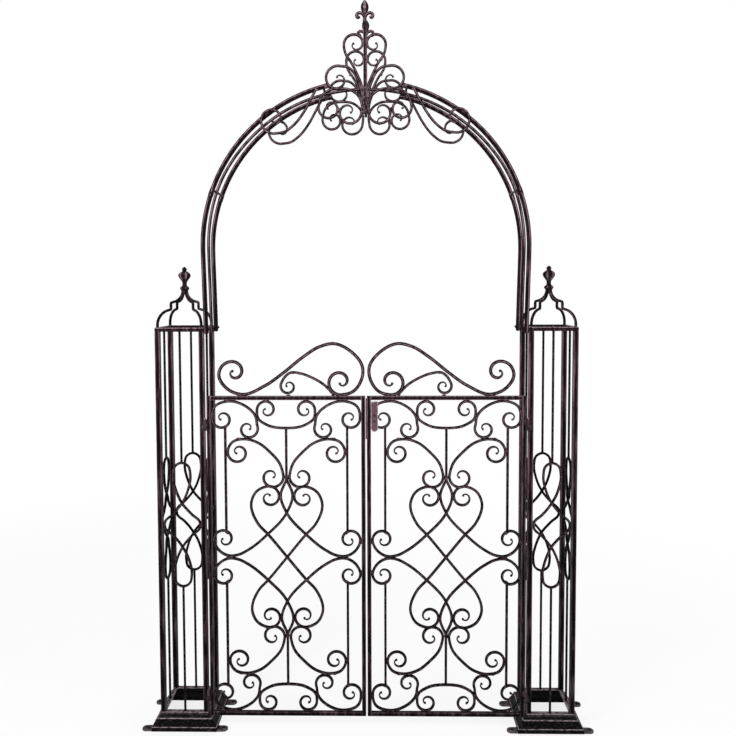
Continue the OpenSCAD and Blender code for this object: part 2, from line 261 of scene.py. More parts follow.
def square_tube(low, high, axis, soft=2.2):
    """A square tube between two corners. Its outline has three points on each softened edge,
    along a quarter circle, and one in the middle of each side. It is carried along the axis
    with a small chamfer at either end."""
    low, high = np.asarray(low, float), np.asarray(high, float)
    u, v = [k for k in range(3) if k != axis]
    mid, half = (low + high) / 2, (high - low) / 2
    edge = np.radians(np.arange(4)[:, None] * 90 + [0, 45, 90])
    corner = np.array([(1, 1), (-1, 1), (-1, -1), (1, -1)])
    side = np.array([(0, 1), (-1, 0), (0, -1), (1, 0)])
    cut = soft * 0.7
    inner = np.linspace(cut - half[axis], half[axis] - cut, max(2, int(half[axis] * 2 / 60)))
    along = np.concatenate([[-half[axis]], inner, [half[axis]]])
    pinch = np.zeros(len(along))
    pinch[[0, -1]] = cut

    grid = np.empty((len(along), 16, 3))
    grid[..., axis] = mid[axis] + along[:, None]
    for way, k, round_off in ((u, 0, np.cos(edge)), (v, 1, np.sin(edge))):
        reach = (half[way] - pinch)[:, None, None]
        on_edge = corner[:, k:k + 1] * (reach - soft) + soft * round_off
        across = np.concatenate([on_edge, side[:, k:k + 1] * reach], 2)
        grid[..., way] = mid[way] + across.reshape(len(along), 16)
    # softened edges carry painted highlights, partly rubbed wear; the middles of the sides carry
    # none
    return shell(grid, np.tile([0.55, 1.0, 0.55, 0.0], 4))


def rod(start, end, d, sides=12):
    """A straight round rod between two points, with a small chamfer at its ends."""
    start, end = Vector(start), Vector(end)
    line = end - start
    turn = np.array(line.to_track_quat("Z", "Y").to_matrix())
    a = np.arange(sides) / sides * 2 * np.pi
    r, cut = d / 2, d * 0.12
    along = np.array([0, cut, line.length - cut, line.length])[:, None]
    radius = np.array([r - cut, r, r, r - cut])[:, None]
    grid = np.stack([radius * np.cos(a), radius * np.sin(a), along + 0 * a], -1)
    # an even faint painted highlight, partly rubbed wear
    return shell(grid @ turn.T + np.array(start), 0.25)


def turned(profile, centre, sides=28, petals=0, depth=0.0, rub=0.3):
    """A turned or cast shape from rows of radius, height and, where it has petals, how much they
    show. The radius is spun round the upright through the centre. Between petals it is less by
    the depth, as a cosine of the angle, and the petals' ridges carry painted highlights."""
    a = np.arange(sides) / sides * 2 * np.pi
    r, z, push = np.array([(*row, 0.0)[:3] for row in profile], float).T[:, :, None]
    crest = 0.5 + 0.5 * np.cos(a * petals)
    wave = 1 - depth * push * (1 - crest)
    grid = np.stack([r * wave * np.cos(a), r * wave * np.sin(a), z + 0 * a], -1)
    # painted highlights, partly rubbed wear: an even amount, and streaks on the petals' ridges
    return shell(grid + np.asarray(centre, float), rub + 0.8 * push * crest ** 6)


def bead(centre, size, seed=0):
    """A lump of weld: a squashed ball with a slow wave in its radius."""
    lat = np.radians(np.linspace(-84, 84, 8))[:, None]
    lon = (np.arange(10) / 10 * 2 * np.pi)[None, :]
    r = 1 + 0.12 * np.sin(3 * lon + seed) * np.cos(lat) + 0.08 * np.sin(2 * lat + seed)
    level = r * np.cos(lat)
    ball = np.stack([level * np.cos(lon), level * np.sin(lon), r * np.sin(lat)], -1)
    # weld lumps carry a strong painted highlight, partly rubbed wear
    return shell(ball * np.asarray(size, float) / 2 + np.asarray(centre, float), 0.8)


def rounded_loop(half_x, half_y, r, z, per_side=6):
    """A level loop: a rectangle whose corners are quarter circles, with some points evenly
    spaced on each side, along the straight line from one corner to the next."""
    turn = np.radians(np.arange(4)[:, None] * 90 + np.linspace(0, 90, 5))
    corner = np.array([(1, 1), (-1, 1), (-1, -1), (1, -1)])
    x = corner[:, :1] * (half_x - r) + r * np.cos(turn)
    y = corner[:, 1:] * (half_y - r) + r * np.sin(turn)
    arcs = np.stack([x, y], -1)
    last, following = arcs[:, -1:], np.roll(arcs[:, :1], -1, axis=0)
    straights = last + (following - last) * np.linspace(0, 1, per_side + 2)[1:-1, None]
    flat = np.concatenate([arcs, straights], 1).reshape(-1, 2)
    return np.column_stack([flat, np.full(len(flat), float(z))])


def stack_of_loops(loops):
    """A hollow body from level loops given up the outside and down the inside as half width,
    half depth, corner radius, height and amount of painted highlight, partly rubbed wear, joined
    back to the first."""
    grid = np.stack([rounded_loop(*loop[:4]) for loop in loops])
    rub = np.array([loop[4] for loop in loops])[:, None]
    return shell(grid, rub, closed_rows=True)


def holed_plate(outer, centre, hole_r, low, high):
    """A level plate with a round hole: an outline and a circle of as many points, at two
    levels, joined into one closed ring, with the outline's upper edge cut soft."""
    outer = np.asarray(outer, float)
    a = np.arctan2(outer[:, 1] - centre[1], outer[:, 0] - centre[0])
    inner = np.stack([centre[0] + hole_r * np.cos(a), centre[1] + hole_r * np.sin(a)], 1)
    soft = min(1.0, (high - low) * 0.3)
    toward = (inner - outer) / np.linalg.norm(inner - outer, axis=1, keepdims=True)
    # the last number of each row is its painted highlight, partly rubbed wear, strongest on the
    # upper edge
    rows = [(outer, low, 0.1), (outer, high - soft, 0.6), (outer + toward * soft, high, 0.5),
            (inner, high, 0.3), (inner, low, 0.0)]
    grid = np.stack([np.column_stack([flat, np.full(len(flat), float(h))]) for flat, h, _ in rows])
    return shell(grid, np.array([r for _, _, r in rows])[:, None], closed_rows=True)


def moved(one, offset):
    """A shell shifted by an offset."""
    return one._replace(points=one.points + np.asarray(offset, float))


def about(one, degrees):
    """A shell turned about the upright through 0."""
    a = np.radians(degrees)
    m = np.array([[np.cos(a), -np.sin(a), 0], [np.sin(a), np.cos(a), 0], [0, 0, 1]])
    return one._replace(points=one.points @ m.T)


def mirrored(one):
    """A shell on the other side of the gate's middle plane."""
    return one._replace(points=one.points * [-1, 1, 1])


# ---------- paint ----------


def linear(r, g, b):
    """A colour written in the usual 0 to 255 steps, as the shader wants it."""
    c = np.array([r, g, b]) / 255
    return (*np.where(c <= 0.04045, c / 12.92, ((c + 0.055) / 1.055) ** 2.4), 1.0)


class Nodes:
    """Short ways to add and join a material's nodes."""

    def __init__(self, name):
        self.material = bpy.data.materials.new(name)
        self.material.use_nodes = True
        self.tree = self.material.node_tree
        self.tree.nodes.clear()
        self.out = self.tree.nodes.new("ShaderNodeOutputMaterial")

    def add(self, kind, inputs=(), **settings):
        node = self.tree.nodes.new(kind)
        for key, value in settings.items():
            setattr(node, key, value)
        for key, value in dict(inputs).items():
            socket = node.inputs[key]
            if isinstance(value, bpy.types.NodeSocket):
                self.tree.links.new(value, socket)
            else:
                socket.default_value = value
        return node

    def noise(self, coords, scale, detail=4.0, roughness=0.6):
        return self.add("ShaderNodeTexNoise", {"Vector": coords, "Scale": scale, "Detail": detail,
                                               "Roughness": roughness}).outputs["Fac"]

    def ramp(self, value, low, high, start=0.0, end=1.0):
        return self.add("ShaderNodeMapRange", {"Value": value, "From Min": low, "From Max": high,
                                               "To Min": start, "To Max": end},
                        interpolation_type="SMOOTHSTEP").outputs["Result"]

    def maths(self, operation, a, b=0.0):
        return self.add("ShaderNodeMath", {0: a, 1: b}, operation=operation).outputs[0]

    def mix(self, factor, a, b):
        return self.add("ShaderNodeMix", {0: factor, 6: a, 7: b}, data_type="RGBA").outputs[2]


def antique_iron(name, brown, black, highlight_and_wear_tint, highlight_and_wear_strength=0.8, pits=0.3, grain=1.0, streak=1.0):
    """Brown-black paint with a painted mauve highlight, partly rubbed wear, along the ridges that
    carry it. The colour drifts from brown to black towards the ground and in soft patches. The
    painted highlights break up in a finer noise, which a streak under 1 stretches along the
    height and one over 1 squeezes. They are fainter near the ground. That noise and a finer one
    set the gloss and the dimples."""
    n = Nodes(name)
    coords = n.add("ShaderNodeTexCoord").outputs["Object"]
    height = n.add("ShaderNodeSeparateXYZ", {"Vector": coords}).outputs["Z"]
    drawn = n.add("ShaderNodeMapping", {"Vector": coords, "Scale": (1, 1, streak)})
    patches = n.noise(coords, 7.0, 5.0)
    mottle = n.noise(drawn.outputs["Vector"], 75.0, 5.0, 0.65)
    fine = n.noise(coords, 260.0 * grain, 3.0)
    lower = n.ramp(height, 0.5, 2.5, 0.95, 0.1)
    dark = n.maths("ADD", lower, n.ramp(patches, 0.35, 0.7, -0.12, 0.22))
    dark = n.add("ShaderNodeClamp", {"Value": dark}).outputs[0]
    colour = n.mix(dark, linear(*brown), linear(*black))
    colour = n.mix(n.ramp(mottle, 0.5, 0.75, 0.0, 0.12), colour, linear(*highlight_and_wear_tint))
    # painted highlight, partly rubbed wear, from each point's amount
    ridge = n.ramp(n.add("ShaderNodeAttribute", attribute_name="rub").outputs["Fac"], 0.15, 0.95)
    # painted highlights grow stronger higher up
    highlight_height_ramp = n.ramp(height, 0.3, 2.2, 0.2, 1.0)
    broken = n.maths("MULTIPLY", n.ramp(mottle, 0.36, 0.58, 0.15, 1.0), highlight_height_ramp)
    highlight_and_wear_mask = n.maths("MULTIPLY", n.maths("MULTIPLY", ridge, broken), highlight_and_wear_strength)
    highlight_and_wear_mask = n.add("ShaderNodeClamp", {"Value": highlight_and_wear_mask}).outputs[0]
    # mix in the painted highlight colour
    colour = n.mix(highlight_and_wear_mask, colour, linear(*highlight_and_wear_tint))
    rough = n.maths("ADD", n.ramp(mottle, 0.3, 0.7, 0.34, 0.52), n.maths("MULTIPLY", highlight_and_wear_mask, -0.06))
    dimples = n.maths("ADD", n.maths("MULTIPLY", mottle, 0.7), n.maths("MULTIPLY", fine, 0.3))
    bump = n.add("ShaderNodeBump", {"Height": dimples, "Strength": pits, "Distance": 0.0012})
    surface = n.add("ShaderNodeBsdfPrincipled", {
        "Base Color": colour, "Roughness": rough, "Metallic": 0.0, "IOR": 1.4,
        "Specular IOR Level": 0.03, "Normal": bump.outputs["Normal"]})
    n.tree.links.new(surface.outputs[0], n.out.inputs["Surface"])
    return n.material


def pale_floor():
    """White floor that keeps the object's soft shadow and fades to plain white far away."""
    n = Nodes("pale_floor")
    coords = n.add("ShaderNodeTexCoord").outputs["Object"]
    grain = n.noise(coords, 2.0, 2.0)
    colour = n.mix(n.ramp(grain, 0.3, 0.7), (0.84, 0.84, 0.84, 1), (0.87, 0.87, 0.87, 1))
    matt = n.add("ShaderNodeBsdfDiffuse", {"Color": colour}).outputs[0]
    plain = n.add("ShaderNodeEmission", {"Color": (1, 1, 1, 1), "Strength": 1.0}).outputs[0]
    rays = n.add("ShaderNodeLightPath").outputs
    seen = n.maths("MAXIMUM", rays["Is Camera Ray"],
                   n.maths("MAXIMUM", rays["Is Glossy Ray"], rays["Is Transmission Ray"]))
    far = n.add("ShaderNodeVectorMath", {0: coords}, operation="LENGTH").outputs["Value"]
    part = n.maths("MULTIPLY", seen, n.ramp(far, 1.2, 4.0, 0.8, 1.0))
    mixed = n.add("ShaderNodeMixShader", {0: part, 1: matt, 2: plain}).outputs[0]
    n.tree.links.new(mixed, n.out.inputs["Surface"])
    return n.material


BLACK = (6, 5, 6)
# the last colour of each paint is the mauve of its painted highlights, partly rubbed wear
TUBE_PAINT = antique_iron("antique_tube_paint", (25, 14, 19), BLACK, (200, 164, 178),
                          highlight_and_wear_strength=0.62, pits=0.3, streak=0.1)
BAR_PAINT = antique_iron("antique_bar_paint", (24, 13, 18), BLACK, (212, 176, 190),
                         highlight_and_wear_strength=0.4, pits=0.4, grain=1.3)
SHEET_PAINT = antique_iron("antique_sheet_paint", (14, 11, 13), (8, 7, 8), (170, 154, 160),
                           highlight_and_wear_strength=3.2, pits=0.1, streak=3.0)
CAST_PAINT = antique_iron("antique_cast_paint", (26, 15, 20), BLACK, (180, 150, 160),
                          highlight_and_wear_strength=0.8, pits=0.5, grain=0.8)
FITTING_PAINT = antique_iron("antique_fitting_paint", (34, 24, 28), (16, 13, 15),
                             (200, 178, 186), highlight_and_wear_strength=0.7, pits=0.3)
PLATE_PAINT = antique_iron("lock_plate_paint", (112, 88, 96), (78, 60, 68), (196, 172, 180),
                           highlight_and_wear_strength=1.4, pits=0.4)

# ---------- making the pieces ----------


def piece(name, shells, paint, body, slot, *nodes):
    """Joins shells into one mesh in metres, points its faces outwards, rides it on its body
    and lets it stand for its CAD nodes."""
    points = np.vstack([s.points for s in shells]) * MM + GATE
    starts = np.cumsum([0] + [len(s.points) for s in shells[:-1]])
    faces = []
    for s, start in zip(shells, starts):
        faces += (s.quads + start).tolist() + [(cap + start).tolist() for cap in s.caps]
    mesh = bpy.data.meshes.new(name)
    mesh.from_pydata(points.tolist(), [], faces)
    # per-point amount of painted highlight, partly rubbed wear, that the paints read
    rub = mesh.attributes.new("rub", "FLOAT", "POINT")
    rub.data.foreach_set("value", np.concatenate([s.rub for s in shells]).astype(np.float32))
    work = bmesh.new()
    work.from_mesh(mesh)
    bmesh.ops.recalc_face_normals(work, faces=work.faces)
    work.to_mesh(mesh)
    work.free()
    mesh.polygons.foreach_set("use_smooth", np.ones(len(mesh.polygons), bool))
    mesh.set_sharp_from_angle(angle=np.radians(50))
    mesh.materials.append(paint)
    made = bpy.data.objects.new(name, mesh)
    bpy.context.scene.collection.objects.link(made)
    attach(made, body)
    if nodes:
        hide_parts(*nodes)


def on_side(side, shells):
    """Shells drawn for the left side, or mirrored for the right one."""
    return shells if side == "left" else [mirrored(s) for s in shells]


# ---------- columns ----------

EAR_X, EAR_Y, EAR_R, EAR_HOLE_R, EAR_T = 155, 92, 17, 5.5, 6
FOOT_HALF_X, FOOT_HALF_Y, RIM_H, STEP_Z = 130, 112, 19, 50
SHEET_T = 3


def foot_loop(part, z, r, rub, sheet=0.0):
    """One level loop of a foot, set in by the sheet's thickness where it is the inner one. The
    part runs from 0, flush with the posts, to 1 at the rim."""
    return (FACE + (FOOT_HALF_X - FACE) * part - sheet, FACE + (FOOT_HALF_Y - FACE) * part - sheet,
            r, z, rub)


def foot_shells():
    """Sheet foot: a rolled rim, a slope to a step, a band flush with the posts, and the same
    again inside; with four bolting ears."""
    lip_z = FOOT_TOP - 0.8
    shape = [(0.94, 0, 0.3), (0.99, 2, 0.0), (1.0, 6, 0.0), (1.0, RIM_H - 4, 0.0),
             (0.985, RIM_H - 1.5, 1.0), (0.95, RIM_H, 1.0), (0.90, RIM_H + 1, 0.0), (0.62, 36, 0.0),
             (0.45, STEP_Z - 4, 0.0), (0.42, STEP_Z - 1.5, 1.0), (0.40, STEP_Z, 1.0),
             (0.33, STEP_Z + 1.2, 0.4), (0.06, STEP_Z + 3.5, 0.15), (0.0, STEP_Z + 5, 0.15),
             (0.0, FOOT_TOP - 3, 0.4), (-0.02, lip_z, 1.0)]     # part, height and painted highlight, partly rubbed wear, strongest on the rim and step edges
    up = [foot_loop(part, z, 4, rub) for part, z, rub in shape]
    top = [foot_loop(-0.05, FOOT_TOP, 4, 1.0, 0.3),
           foot_loop(-0.05, FOOT_TOP, 3, 0.9, SHEET_T - 0.5),
           foot_loop(-0.02, lip_z, 3, 0.9, SHEET_T)]
    down = [foot_loop(part, z, 3, 0.1, SHEET_T) for part, z, _ in shape[-2::-1]]
    out, inn = FACE - 2, FACE - POST_W
    flange = [(out, out, 3, FOOT_TOP - 3, 0.1), (out, out, 3, FOOT_TOP - 0.5, 0.3),
              (inn, inn, 2, FOOT_TOP - 0.5, 0.9), (inn, inn, 2, FOOT_TOP - 2.5, 0.2)]
    made = [stack_of_loops(up + top + down), stack_of_loops(flange)]
    a = np.radians(np.linspace(-90, 90, 15))
    nose = np.stack([EAR_X + EAR_R * np.cos(a), EAR_R * np.sin(a)], 1)
    root = [(FOOT_HALF_X + 4, EAR_R), (FOOT_HALF_X - 6, EAR_R + 3), (FOOT_HALF_X - 6, 0),
            (FOOT_HALF_X - 6, -EAR_R - 3), (FOOT_HALF_X + 4, -EAR_R)]
    for sx, sy in QUARTERS:
        edge = path(nose, root) * [sx, 1] + [0, sy * EAR_Y]
        made.append(holed_plate(edge, (sx * EAR_X, sy * EAR_Y), EAR_HOLE_R, 0, EAR_T))
    return made


def post_shells():
    """Four square tubes, each with weld at its foot on its two inner sides."""
    made = []
    half = POST_W / 2
    for sx, sy in QUARTERS:
        x, y = sx * POST_AT, sy * POST_AT
        made.append(square_tube((x - half, y - half, FOOT_TOP), (x + half, y + half, RING_LOW), 2))
        made.append(bead((x - sx * half, y, FOOT_TOP + 1), (6, 15, 5), sx + sy))
        made.append(bead((x, y - sy * half, FOOT_TOP + 1), (15, 6, 5), sx - sy))
    return made


def ring_shells():
    """The square ring on the posts, with painted highlights, partly rubbed wear, on its upper
    edges.
    """
    low, high, inner = RING_LOW, RING_TOP, FACE - POST_W + 3
    loops = [(FACE - 1.5, 1.5, low, 0.2), (FACE, 2.5, low + 2, 0.3), (FACE, 2.5, high - 4, 0.2),
             (FACE, 2.5, high - 2.2, 1.0), (FACE - 1.8, 2.5, high - 0.2, 0.8),
             (FACE - 4, 2, high, 0.0), (inner + 3, 1.5, high, 0.0),
             (inner + 1, 1.5, high - 0.3, 0.2), (inner, 1.5, high - 2, 0.2),
             (inner, 1.5, low + 1, 0.0)]        # half width, corner radius, height and painted highlight, partly rubbed wear
    return [stack_of_loops([(half, half, *rest) for half, *rest in loops])]


KNOT_CROSSING = (0, 88)
KNOT_SIDE = [(71.5, 0), (69, 12), (38, 42), KNOT_CROSSING, (-24, 140), (-34, 202), (-25, 236),
             (0, KNOT_REACH)]


def trellis_shells():
    """One face of a column: a thin rod from the foot to a knot and from the knot to the ring.
    The knot is two loops. At a loop's crossing its rod is set to the front and then to the
    back, by a bell curve of the distance from the crossing."""
    line = smooth(path(KNOT_SIDE, flip(KNOT_SIDE[-2::-1])), 6)
    away = np.linalg.norm(line - KNOT_CROSSING, axis=1)
    first = np.arange(len(line)) < len(line) / 2
    weave = np.where(first, -1.0, 1.0) * KNOT_D / 3 * np.exp(-(away / 26) ** 2)
    made = []
    for up in (1, -1):
        made.append(bar(line * [1, up] + [0, KNOT_Z], KNOT_D, y=weave * up, step=9))
    made.append(rod((0, 0, FOOT_TOP - 2), (0, 0, KNOT_Z - KNOT_REACH), ROD_D))
    made.append(rod((0, 0, KNOT_Z + KNOT_REACH), (0, 0, RING_LOW + 2), ROD_D))
    made.append(bead((0, 0, KNOT_Z + KNOT_REACH), (11, 10, 9), 1))
    made.append(bead((0, 0, KNOT_Z - KNOT_REACH), (11, 10, 9), 2))
    for sx in (-1, 1):
        made.append(bead((sx * (POST_AT - POST_W / 2 - 1), 0, KNOT_Z), (5, 9, 13), sx))
    made.append(bead((0, 0, FOOT_TOP), (12, 11, 5), 3))
    made.append(bead((0, 0, RING_LOW), (12, 11, 4), 4))
    return made


KNEE, KNEE_Z, NECK_Z, SEAT_R = 62, 1680, 1710, 9
CORNER_AT = POST_AT * 2 ** 0.5              # column's middle to a corner post's middle


def rib_path():
    """A rib of the cap, drawn outwards from the column's middle and up: a quarter circle, a
    short upright with soft corners, and a hollow curve up to the finial."""
    bend = CORNER_AT - KNEE
    a = np.radians(np.arange(0, 80, 10))
    lower = np.stack([KNEE + bend * np.cos(a), KNEE_Z - bend + bend * np.sin(a)], 1)
    a = np.radians(np.arange(80, -1, -10))
    top = FINIAL[0][2]
    upper = np.stack([KNEE - (KNEE - SEAT_R) * np.cos(a), top - (top - NECK_Z) * np.sin(a)], 1)
    jog = [(KNEE + 7, KNEE_Z), (KNEE + 1.5, KNEE_Z + 1.5), (KNEE, KNEE_Z + 7), (KNEE, NECK_Z - 7),
           (KNEE - 1.5, NECK_Z - 1.5), (KNEE - 7, NECK_Z)]
    return path([(CORNER_AT, RING_TOP - 1)], lower, jog, upper)


def cap_shells():
    """Four ribs on the corners of the ring, meeting in a small turned seat."""
    made = []
    rib = bar(rib_path(), RIB_D, step=7, power=2.3)
    for k in range(4):
        made.append(about(rib, 45 + 90 * k))
        weld = bead((CORNER_AT, 0, RING_TOP + 1), (14, 12, 6), k)
        made.append(about(weld, 45 + 90 * k))
    seat = [(0.5, -16), (9, -15), (12.5, -12), (13, -8), (11, -5), (11.5, -2), (12.5, 0), (0.5, 0)]
    made.append(turned(seat, (0, 0, FINIAL[0][2])))
    return made


def finial_shells():
    """Cast finial: a base with soft petals, a waist, a petalled bud and a round tip."""
    profile = [(0.5, 0), (13, 0), (14.5, 2), (17.5, 5, 0.3), (19, 9, 0.6), (18, 13, 0.6),
               (14, 16, 0.3), (10.5, 19), (9, 23), (8.6, 29), (9.5, 34), (12.5, 39, 0.4),
               (17, 45, 1), (22, 51, 1), (24.6, 57, 1), (25.2, 62, 1), (23.4, 67, 0.9),
               (18.5, 72, 0.7), (12.5, 75.5, 0.4), (9, 78), (7.6, 80), (9.2, 82.5), (10.2, 85),
               (9.6, 88), (7, 91), (4, 94), (0.6, 96)]
    return [turned(profile, (0, 0, FINIAL[0][2]), 48, petals=6, depth=0.16, rub=0.2)]


# ---------- arch ----------


def arc(r, start, end, steps=60):
    """Points along the arch's circle between two angles above the spring line."""
    a = np.linspace(start, end, steps)
    return np.stack([-r * np.cos(a), SPRING_Z + r * np.sin(a)], 1)


def leg_and_arc(r, end_a):
    """An arch rail: from its foot up the leaning leg and round the circle."""
    top = np.array([-r * np.cos(LEAN), SPRING_Z - r * np.sin(LEAN)])
    length = SPRING_Z - LEG_FOOT_Z - r * np.sin(LEAN)
    foot = top + np.array([np.sin(LEAN), -np.cos(LEAN)]) * length
    return path(foot, foot + (top - foot) * 0.5, arc(r, -LEAN, end_a))


def band_shells(y):
    """A front or rear rail: a tube with a swaged joint, a fixing bolt at each joint and two
    bolts through its leg into the post."""
    end_a = np.arccos(BAND_END / BAND_R)
    made = [bar(leg_and_arc(BAND_R, end_a), BAND_W, y=y, power=2.0, sides=20, step=14, line=1)]
    sleeve = arc(BAND_R, JOINT_A - 0.035, JOINT_A, 6)
    made.append(bar(sleeve, BAND_W + 2, y=y, power=2.0, sides=20, step=6))
    x, z = arc(BAND_R, JOINT_A - 0.02, JOINT_A, 2)[0]
    out = np.sign(y)
    made.append(rod((x, y + out * (BAND_D / 2 - 1), z), (x, y + out * (BAND_D / 2 + 4), z), 9, 6))
    plug = arc(BAND_R, end_a - 0.012, end_a + 0.004, 4)
    made.append(bar(plug, BAND_W + 1.4, y=y, power=2.0, sides=20, step=4))
    for z in (LEG_FOOT_Z + 12, RING_TOP - 8):
        x = -PATH_FACE + BAND_D + 0.3
        made.append(rod((x - 2, y, z), (x + 5, y, z), 11, 6))
        made.append(bead((-PATH_FACE + 1, y - out * 6, z), (5, 7, 10), z))
    return made


def middle_shells():
    """The thin middle rail. It bulges a little outwards beside the joint and sags a little at
    the crown, as two soft bumps in its radius against the angle above the spring line."""
    line = smooth(leg_and_arc(BAND_R - 2, np.pi / 2), 14)
    out = line - [0, SPRING_Z]
    a = np.degrees(np.arctan2(out[:, 1], -out[:, 0]))[:, None]
    bump = 5.2 * np.exp(-((a - 25) / 15) ** 2) - 6.5 * np.exp(-((a - 88) / 24) ** 2)
    line = out * (1 + bump / BAND_R) + [0, SPRING_Z]
    return [bar(line, MIDDLE_D, power=2.0, sides=14, step=14)]


def rung_shells():
    """Short rods between the three rails, each with a lump of weld where it meets them."""
    made = []
    reach = POST_AT - BAND_D / 2
    for a in (JOINT_A, np.arccos(BAND_END / BAND_R) - np.radians(1.5)):
        x, z = arc(BAND_R - 2, a, a, 1)[0]
        made.append(rod((x, -reach - 1, z), (x, reach + 1, z), ROD_D))
        for y in (-reach, -5.5, 5.5, reach):
            made.append(bead((x, y, z), (11, 5, 11), y))
    return made + [mirrored(m) for m in made]


# ---------- crest ----------

UPPER = path([(-9, -12), (-10, 33), (-32, 93), (-54, 135), (-73, 164)],
             curl((-37, 200), 43, 189, -400, 1.25))
SECOND = path([(-12, -11), (-12, 7), (-28, 65), (-44, 96), (-65, 114)],
              curl((-104, 71), 49, 78, 400))
LOWER = path(curl((-136, -39), 42, 165, 400)[::-1],
             [(-165, 7), (-137, 28), (-97, 34), (-54, 28), (-25, 6), (-12, -26)],
             curl((-61, -54), 47, -5, -380))
SIDE = path([(-186, 2526), (-209, 2482), (-232, 2441), (-280, 2383), (-308, 2364)],
            curl((-351, 2409), 52, -80, -400))
# place of each weld, its y counted from the crest towards the arch's middle, its size and seed
CREST_WELDS = [((148, 5, 2538), (22, 12, 14), 0), ((7, 0, 2690), (8, 9, 12), 2),
               ((99, 0, 2446), (9, 9, 16), 3), ((64, 0, 2633), (12, 9, 10), 4)]


def crest_shells(y):
    """The crest panel: three pairs of scrolls gathered by two collars round a square bar."""
    up = np.array([0, BUNDLE_Z])
    half = [bar(UPPER + up, CROWN_D, y=y, ends=(1, DRAWN)),
            bar(SECOND + up, CROWN_D, y=y, ends=(1, DRAWN)),
            bar(LOWER + up, CROWN_D, y=y, ends=(DRAWN, DRAWN))]
    made = half + [mirrored(h) for h in half]
    made.append(square_tube((-6, y - 5.5, CREST_BAR_Z), (6, y + 5.5, SPEAR_Z + 1), 2, 1.8))
    for z, w in ((BUNDLE_Z, 17), (BUNDLE_Z + COLLAR_GAP, 18)):
        made.append(square_tube((-w, y - 7.5, z - 4), (w, y + 7.5, z + 4), 0, 2.4))
    for sx in (-1, 1):
        for (x, deep, z), size, seed in CREST_WELDS:
            made.append(bead((sx * x, y - np.sign(y) * deep, z), size, sx + seed))
    return made


SPEAR_NECK = [(0.5, 0), (8.5, 0), (10, 2), (11, 5), (10.4, 8), (9, 10), (10.4, 12), (11, 15),
              (9, 18), (8, 20), (8.2, 26, 0.6), (7.4, 34, 1), (6.4, 42, 1), (6.2, 47, 0.8),
              (7, 51, 0.3), (0.5, 52)]
SPEAR_RING = [(0.5, 50), (8, 50), (9.2, 53), (8, 56), (0.5, 57)]
SPEAR_ARM = [(2, 40), (6, 49), (14, 55), (23, 56), (30, 51), (31, 43), (26, 38), (22, 41)]
BLADE_LOW, BLADE_H = 49, 57.5
# part of the blade's height, against half its width and half its thickness there
BLADE_WIDTH = ([0, 0.12, 0.3, 0.45, 0.62, 0.8, 0.92, 1], [6, 9, 13.5, 15, 14.4, 9.5, 4, 0.7])
BLADE_THICK = ([0, 0.3, 0.5, 0.8, 1], [4.5, 6, 6, 4, 0.7])


def spear_shells(y):
    """Spear head: a ringed collar, a fluted neck, two curled arms and a leaf-shaped blade. The
    blade is an oval at each height, hollowed beside the ridge down its middle by the product
    of a sine of twice the angle and its cosine."""
    t = np.linspace(0, 1, 15)
    a = np.arange(16) / 16 * 2 * np.pi
    ridge = 1 - 0.35 * np.abs(np.sin(2 * a)) * np.abs(np.cos(a))
    wide, thick = np.interp(t, *BLADE_WIDTH)[:, None], np.interp(t, *BLADE_THICK)[:, None]
    level = BLADE_LOW + BLADE_H * t[:, None]
    blade = np.stack([wide * np.cos(a) * ridge, thick * np.sin(a) * ridge, level + 0 * a], -1)
    # the blade's two flat faces carry painted highlights down their middles
    made = [turned(SPEAR_NECK, (0, y, SPEAR_Z), 32, petals=8, depth=0.14),
            shell(blade + [0, y, SPEAR_Z], np.abs(np.sin(a)) ** 6 * 0.9)]
    for sx in (1, -1):
        arm = path(SPEAR_ARM) * [sx, 1] + [0, SPEAR_Z]
        made.append(bar(arm, 11.5, 12, y=y, ends=(1, 0.8), step=3, drawn=16))
        made.append(bead((sx * 25, y, SPEAR_Z + 41.5), (11, 11, 10), sx))
    made.append(turned(SPEAR_RING, (0, y, SPEAR_Z), 20))
    return made


def side_scroll_shells(y):
    """The long scrolls that hang under the rails beside the crest."""
    one = [bar(SIDE, CROWN_D, y=y, ends=(1, DRAWN)),
           bead((-187, y, 2522), (12, 11, 14), 1)]
    return one + [mirrored(s) for s in one]


# ---------- leaves, drawn about the leaf's middle, u towards the meeting stile ----------

CORNER = path(curl((-252, 553), 38.4, 180, 400)[::-1],
              [(-280, 600), (-231, 621.5), (-166, 607), (-119, 560)],
              curl((-149, 513), 38, 20, -400))
BOWL_HALF = path(curl((-77, 587), 37, 180, -400)[::-1], [(-110, 555), (-78, 530)])
BOWL = path(BOWL_HALF, [(0, 516)], flip(BOWL_HALF)[::-1])
FORK = path(curl((-191, 419), 40, 180, 400)[::-1],
            [(-212, 460), (-170, 472), (-112, 458), (-65, 421), (-25, 372)],
            curl((-57, 322), 45, 14, -400))
HEART_HALF = path(curl((-69, 241), 43, 105, -400)[::-1],
                  [(-120, 262), (-139, 225), (-115, 135), (-75, 91)])
HEART = path(HEART_HALF, [(0, 0)], -HEART_HALF[::-1])
ALMOND = path(curl((-250, 70), 40.5, 200, -400)[::-1],
              [(-268, 24), (-231, 5), (-190, 10), (-155, 28), (-75, 93), (-1, 177), (23, 249),
               (0, 311)])
SPINDLE_U = 240                             # side uprights, from the leaf's middle
LONG = path(curl((-204, 93), 43, 100, -330, 1)[::-1],
            [(-245, 122), (-262, 87), (-232, 30), (-177, 6.5), (-80, 41), (-6, 93), (69, 153),
             (136, 194), (188, 205), (254, 176), (302, 108), (292, 52), (262, 16)],
            curl((215, 54), 50, -80, -400))
SMALL = path(curl((10, 38), 30, 150, 400)[::-1],
             [(-5, 72), (16, 90), (60, 88), (105, 71), (150, 44), (187, 6)])
